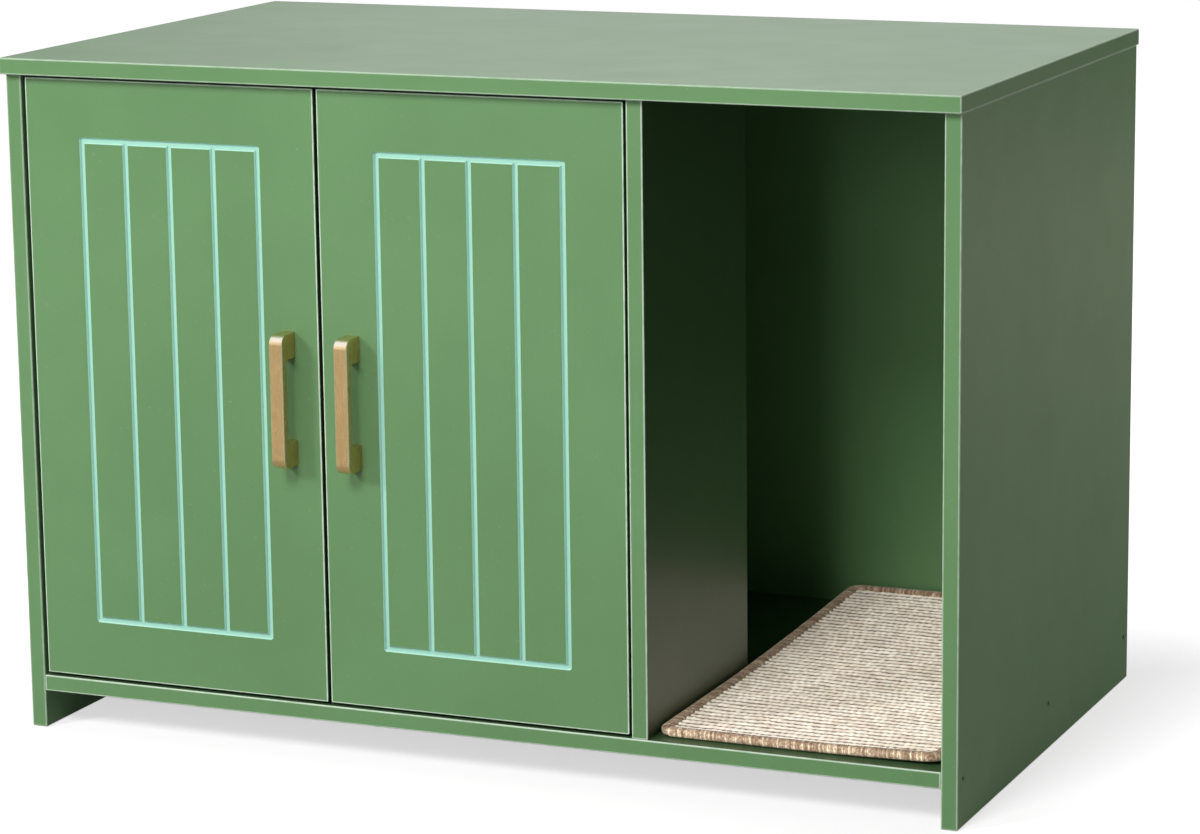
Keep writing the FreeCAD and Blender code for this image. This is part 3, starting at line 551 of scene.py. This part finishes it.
def gridFaces(rows, columns, closed=False):
    # Quads of a grid of rows by columns points, or of a ring of closed rows.
    i = np.arange(rows if closed else rows - 1)[:, None] * columns
    j = np.arange(columns if closed else columns - 1)[None, :]
    i2, j2 = (i + columns) % (rows * columns), (j + 1) % columns
    return np.stack([i + j, i + j2, i2 + j2, i2 + j], axis=-1).reshape(-1, 4)


mat = {
    "rowPitch": 9.6 * millimetre,       # from one row of loops to the next
    "loopPitch": 6.0 * millimetre,      # from one loop to the next in a row
    "ridge": 2.6 * millimetre,          # depth of the gaps between rows
    "loopDip": 0.45 * millimetre,       # dip between two loops
    "wander": 1.9 * millimetre,         # how far a row strays sideways
    "corner": 16 * millimetre,
    "stepAcross": 1.5 * millimetre,
    "stepAlong": 1.2 * millimetre,
    "tuck": 5.0 * millimetre,           # pile that runs on inside the whipped edge
    "cornerLift": 2.6 * millimetre,
    "cornerReach": 120 * millimetre,
    "backLift": 10.0 * millimetre,      # the far edge climbs the back panel a little
    "backReach": 330 * millimetre,
    "strandPitch": 1.9 * millimetre,    # whipping strands, along the edge
    "strandHeight": 0.40 * millimetre,
    "slack": 0.5 * millimetre,          # how much the edge's width varies
    "strandSlant": 2,                   # whole pitches that a strand shifts by, once round
    "strandSteps": 6,
    "ringSteps": 20,
    "cream": srgb(246, 237, 224),
    "creamDeep": srgb(232, 217, 198),
    # painted shade in the gaps between rows of loops and where whipping strands meet
    "gap": srgb(106, 82, 62),
    "brown": srgb(116, 90, 68),
    "tan": srgb(176, 151, 127),
    "pale": srgb(248, 232, 200),
}

matLow, matHigh = (np.array(corner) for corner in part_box("mat_binding"))
pileLow, pileHigh = (np.array(corner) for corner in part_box("mat_pile"))
bindingWidth = pileLow[0] - matLow[0]


def matLift(x, y):
    # The front right corner and the far edge stand off the board: a smooth rise towards each.
    corner = 1 - np.hypot(matHigh[0] - x, y - matLow[1]) / mat["cornerReach"]
    back = 1 - (matHigh[1] - y) / mat["backReach"]
    return (mat["cornerLift"] * np.clip(corner, 0, 1) ** 1.6
            + mat["backLift"] * np.clip(back, 0, 1) ** 1.5)


def makePile(material):
    # Height over a grid: rows of rounded ridges across the mat, each dipped between its loops,
    # with rows straying and loops differing. Rows of points get narrower round the corners.
    radius = mat["corner"] - bindingWidth + mat["tuck"]
    half = (pileHigh - pileLow)[:2] / 2 + mat["tuck"]
    centre = (pileHigh + pileLow)[:2] / 2
    across = int(2 * half[0] / mat["stepAcross"])
    along = int(2 * half[1] / mat["stepAlong"])
    v = np.linspace(-half[1], half[1], along)[:, None]
    into = np.clip(np.abs(v) - (half[1] - radius), 0, radius)
    width = half[0] - radius + np.sqrt(radius ** 2 - into ** 2)
    x = np.linspace(-1, 1, across)[None, :] * width
    y = v + 0 * x
    stray = (latticeNoise(x, y, 0.045, 3) - 0.5) * 2 * mat["wander"]
    stray = stray + (latticeNoise(x, y, 0.012, 5) - 0.5) * mat["wander"]
    row = (y + stray) / mat["rowPitch"]
    rowIndex = np.floor(row)
    shift = np.sin(rowIndex * 12.9898) * 43.7
    loop = (x + stray) / mat["loopPitch"] + shift
    loopIndex = np.floor(loop)
    size = latticeNoise(loopIndex, rowIndex, 1.0, 11)
    ridge = np.sin(pi * (row - rowIndex)) ** 0.75
    dip = np.abs(np.cos(pi * (loop - loopIndex))) ** 3
    level = ridge * (0.76 + 0.24 * size) - dip * mat["loopDip"] / mat["ridge"] * (0.5 + size)
    level = level + (latticeNoise(x, y, 0.0026, 17) - 0.5) * 0.22
    z = pileHigh[2] - mat["ridge"] + level * mat["ridge"] * 1.05
    lift = matLift(x + centre[0], y + centre[1])
    top = np.stack([x + centre[0], y + centre[1], z + lift], axis=-1).reshape(-1, 3)
    rim = np.concatenate([np.arange(across), np.arange(2, along) * across - 1,
                          np.arange(along * across - 1, (along - 1) * across - 1, -1),
                          np.arange(along - 2, 0, -1) * across])
    skirt = top[rim].copy()
    skirt[:, 2] = pileLow[2] + lift.reshape(-1)[rim]
    ring = len(top) + np.arange(len(rim))
    walls = np.stack([rim, ring, np.roll(ring, -1), np.roll(rim, -1)], axis=-1)
    faces = gridFaces(along, across).tolist() + walls.tolist() + [ring[::-1].tolist()]
    shades = np.concatenate([np.clip(level, 0, 1).ravel(), np.zeros(len(rim))])
    return newPiece("matPile", np.concatenate([top, skirt]).tolist(), faces, material, shades)


def makeBinding(material):
    # A rounded section carried round the mat's outline. Its radius swells once per strand,
    # and the strands lean, so the swelling turns with the angle round the section.
    half = (matHigh - matLow)[:2] / 2
    centre = (matHigh + matLow)[:2] / 2
    tube = np.array([bindingWidth / 2, (matHigh[2] - matLow[2]) / 2])
    path = mat["corner"] - tube[0]
    straight = 2 * (half - mat["corner"])
    length = 2 * straight.sum() + 2 * pi * path
    strands = int(length / mat["strandPitch"])
    s = np.linspace(0, length, strands * mat["strandSteps"], endpoint=False)
    quarter = pi * path / 2
    marks = np.cumsum([0] + [straight[0], quarter, straight[1], quarter] * 2)[:-1]
    leg = np.searchsorted(marks, s, side="right") - 1
    run = s - marks[leg]
    turnsDone = (leg + 1) // 2
    angle = -pi / 2 + turnsDone * pi / 2
    angle = angle - np.where(leg % 2 == 1, pi / 2 - run / path, 0)
    outward = np.stack([np.cos(angle), np.sin(angle)], axis=-1)
    forward = np.stack([-np.sin(angle), np.cos(angle)], axis=-1)
    corners = np.array([[-1, -1], [1, -1], [1, 1], [-1, 1]]) * (half - mat["corner"])
    start = corners[((leg + 1) // 2) % 4]
    onArc = (leg % 2 == 1)[:, None]
    middle = start + outward * path + np.where(onArc, 0, forward * run[:, None])
    phi = np.linspace(0, 2 * pi, mat["ringSteps"], endpoint=False) - pi / 2   # seam underneath
    strand = s[:, None] / length * strands + phi[None, :] / (2 * pi) * mat["strandSlant"]
    phase = strand - np.floor(strand)
    vary = latticeNoise(np.floor(strand), 0 * strand, 1.0, 23)
    height = mat["strandHeight"]
    swell = np.sin(pi * phase) ** 0.8 * height * (0.7 + 0.6 * vary) - height
    sideways, upright = [np.abs(part) ** 0.8 * np.sign(part) for part in (np.cos(phi), np.sin(phi))]
    uneven = latticeNoise(s[:, None] / length * 40, phi[None, :] * 1.2, 1.0, 29) - 0.5
    reach = (tube[0] + swell + uneven * mat["slack"]) * sideways[None, :]
    rise = (tube[1] + swell * 0.9) * upright[None, :]
    x = middle[:, 0:1] + outward[:, 0:1] * reach + centre[0]
    y = middle[:, 1:2] + outward[:, 1:2] * reach + centre[1]
    z = (matHigh[2] + matLow[2]) / 2 + rise + matLift(x, y)
    verts = np.stack([x, y, z], axis=-1).reshape(-1, 3)
    faces = gridFaces(len(s), len(phi), closed=True)
    side = np.clip(0.5 + 0.5 * np.cos(phi)[None, :] - 0.35 * np.sin(phi)[None, :] + 0 * x, 0, 1)
    along = np.stack([strand, np.sin(pi * phase)], axis=-1).reshape(-1, 2)
    return newPiece("matBinding", verts.tolist(), faces.tolist(), material, side, along)


def pileFinish():
    # Cream looped yarn: painted shade in the gaps, by depth, flecks, and twisted fibres in the
    # relief.
    material, coords, shader = newFinish("loopPile")
    level = coords.node("ShaderNodeAttribute", {"attribute_name": "shade"}, {}, 2)
    fibre = coords.noise(0.8 * millimetre, 3.0, 0.65, (3.0, 1.0, 1.0))
    patch = coords.noise(26 * millimetre, 3.0)
    fleck = coords.noise(3.2 * millimetre, 2.0, 0.6, (2.2, 1.0, 1.0))
    yarn = (patch * 0.35 + fleck * 0.65).ramp(0.36, 0.62).mixed(mat["creamDeep"], mat["cream"])
    # Painted shade: darker towards the bottom of the gaps between rows.
    colour = (level + fibre * 0.2 - 0.1).ramp(0.24, 0.70).mixed(mat["gap"], yarn)
    height = fibre * 0.6 + fleck * 0.4
    connect(shader, Base_Color=colour, Roughness=fibre * 0.1 + 0.86, Specular_IOR_Level=0.15,
            Sheen_Weight=0.25, Sheen_Roughness=0.5,
            Normal=height.bumped(0.8, 0.5 * millimetre))
    return material


def bindingFinish():
    # Whipped yarn: each strand its own mix of brown and pale, with painted shade where strands
    # meet.
    material, coords, shader = newFinish("whippedYarn")
    along = coords.node("ShaderNodeUVMap", {"uv_map": "along"}, {})
    u, crown = axes(along)[:2]
    outer = coords.node("ShaderNodeAttribute", {"attribute_name": "shade"}, {}, 2)
    which = u.node("ShaderNodeTexWhiteNoise", {"noise_dimensions": "1D"}, {"W": u.calc("FLOOR")})
    fibre = coords.noise(0.7 * millimetre, 3.0, 0.65)
    speck = coords.noise(2.2 * millimetre, 2.0, 0.6)
    blendIn = which * 0.4 + outer * 0.22 + fibre * 0.4 + speck * 1.1 - 0.68
    colour = blendIn.node("ShaderNodeValToRGB", {"stops": (
        (0.10, mat["brown"]), (0.45, mat["tan"]), (0.80, mat["pale"]))}, {"Fac": blendIn})
    # Painted shade where two strands meet.
    colour = crown.ramp(0.05, 0.55, 0.75, 0.0).mixed(colour, mat["gap"])
    connect(shader, Base_Color=colour, Roughness=fibre * 0.1 + 0.82, Specular_IOR_Level=0.18,
            Sheen_Weight=0.2, Sheen_Roughness=0.5,
            Normal=fibre.bumped(0.7, 0.35 * millimetre))
    return material


def layMat():
    # Both pieces ride the mat's body, and a lamp of their own lights them.
    pile = makePile(pileFinish())
    binding = makeBinding(bindingFinish())
    matOnly = bpy.data.collections.new("matOnly")
    for piece, node, slot in ((pile, "mat_pile", "cream_loop"),
                              (binding, "mat_binding", "brown_yarn")):
        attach(piece, "mat")
        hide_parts(node)
        matOnly.objects.link(piece)
    makeLamp("matFill", *studio["matFill"]).light_linking.receiver_collection = matOnly


layMat()
print("mat laid")
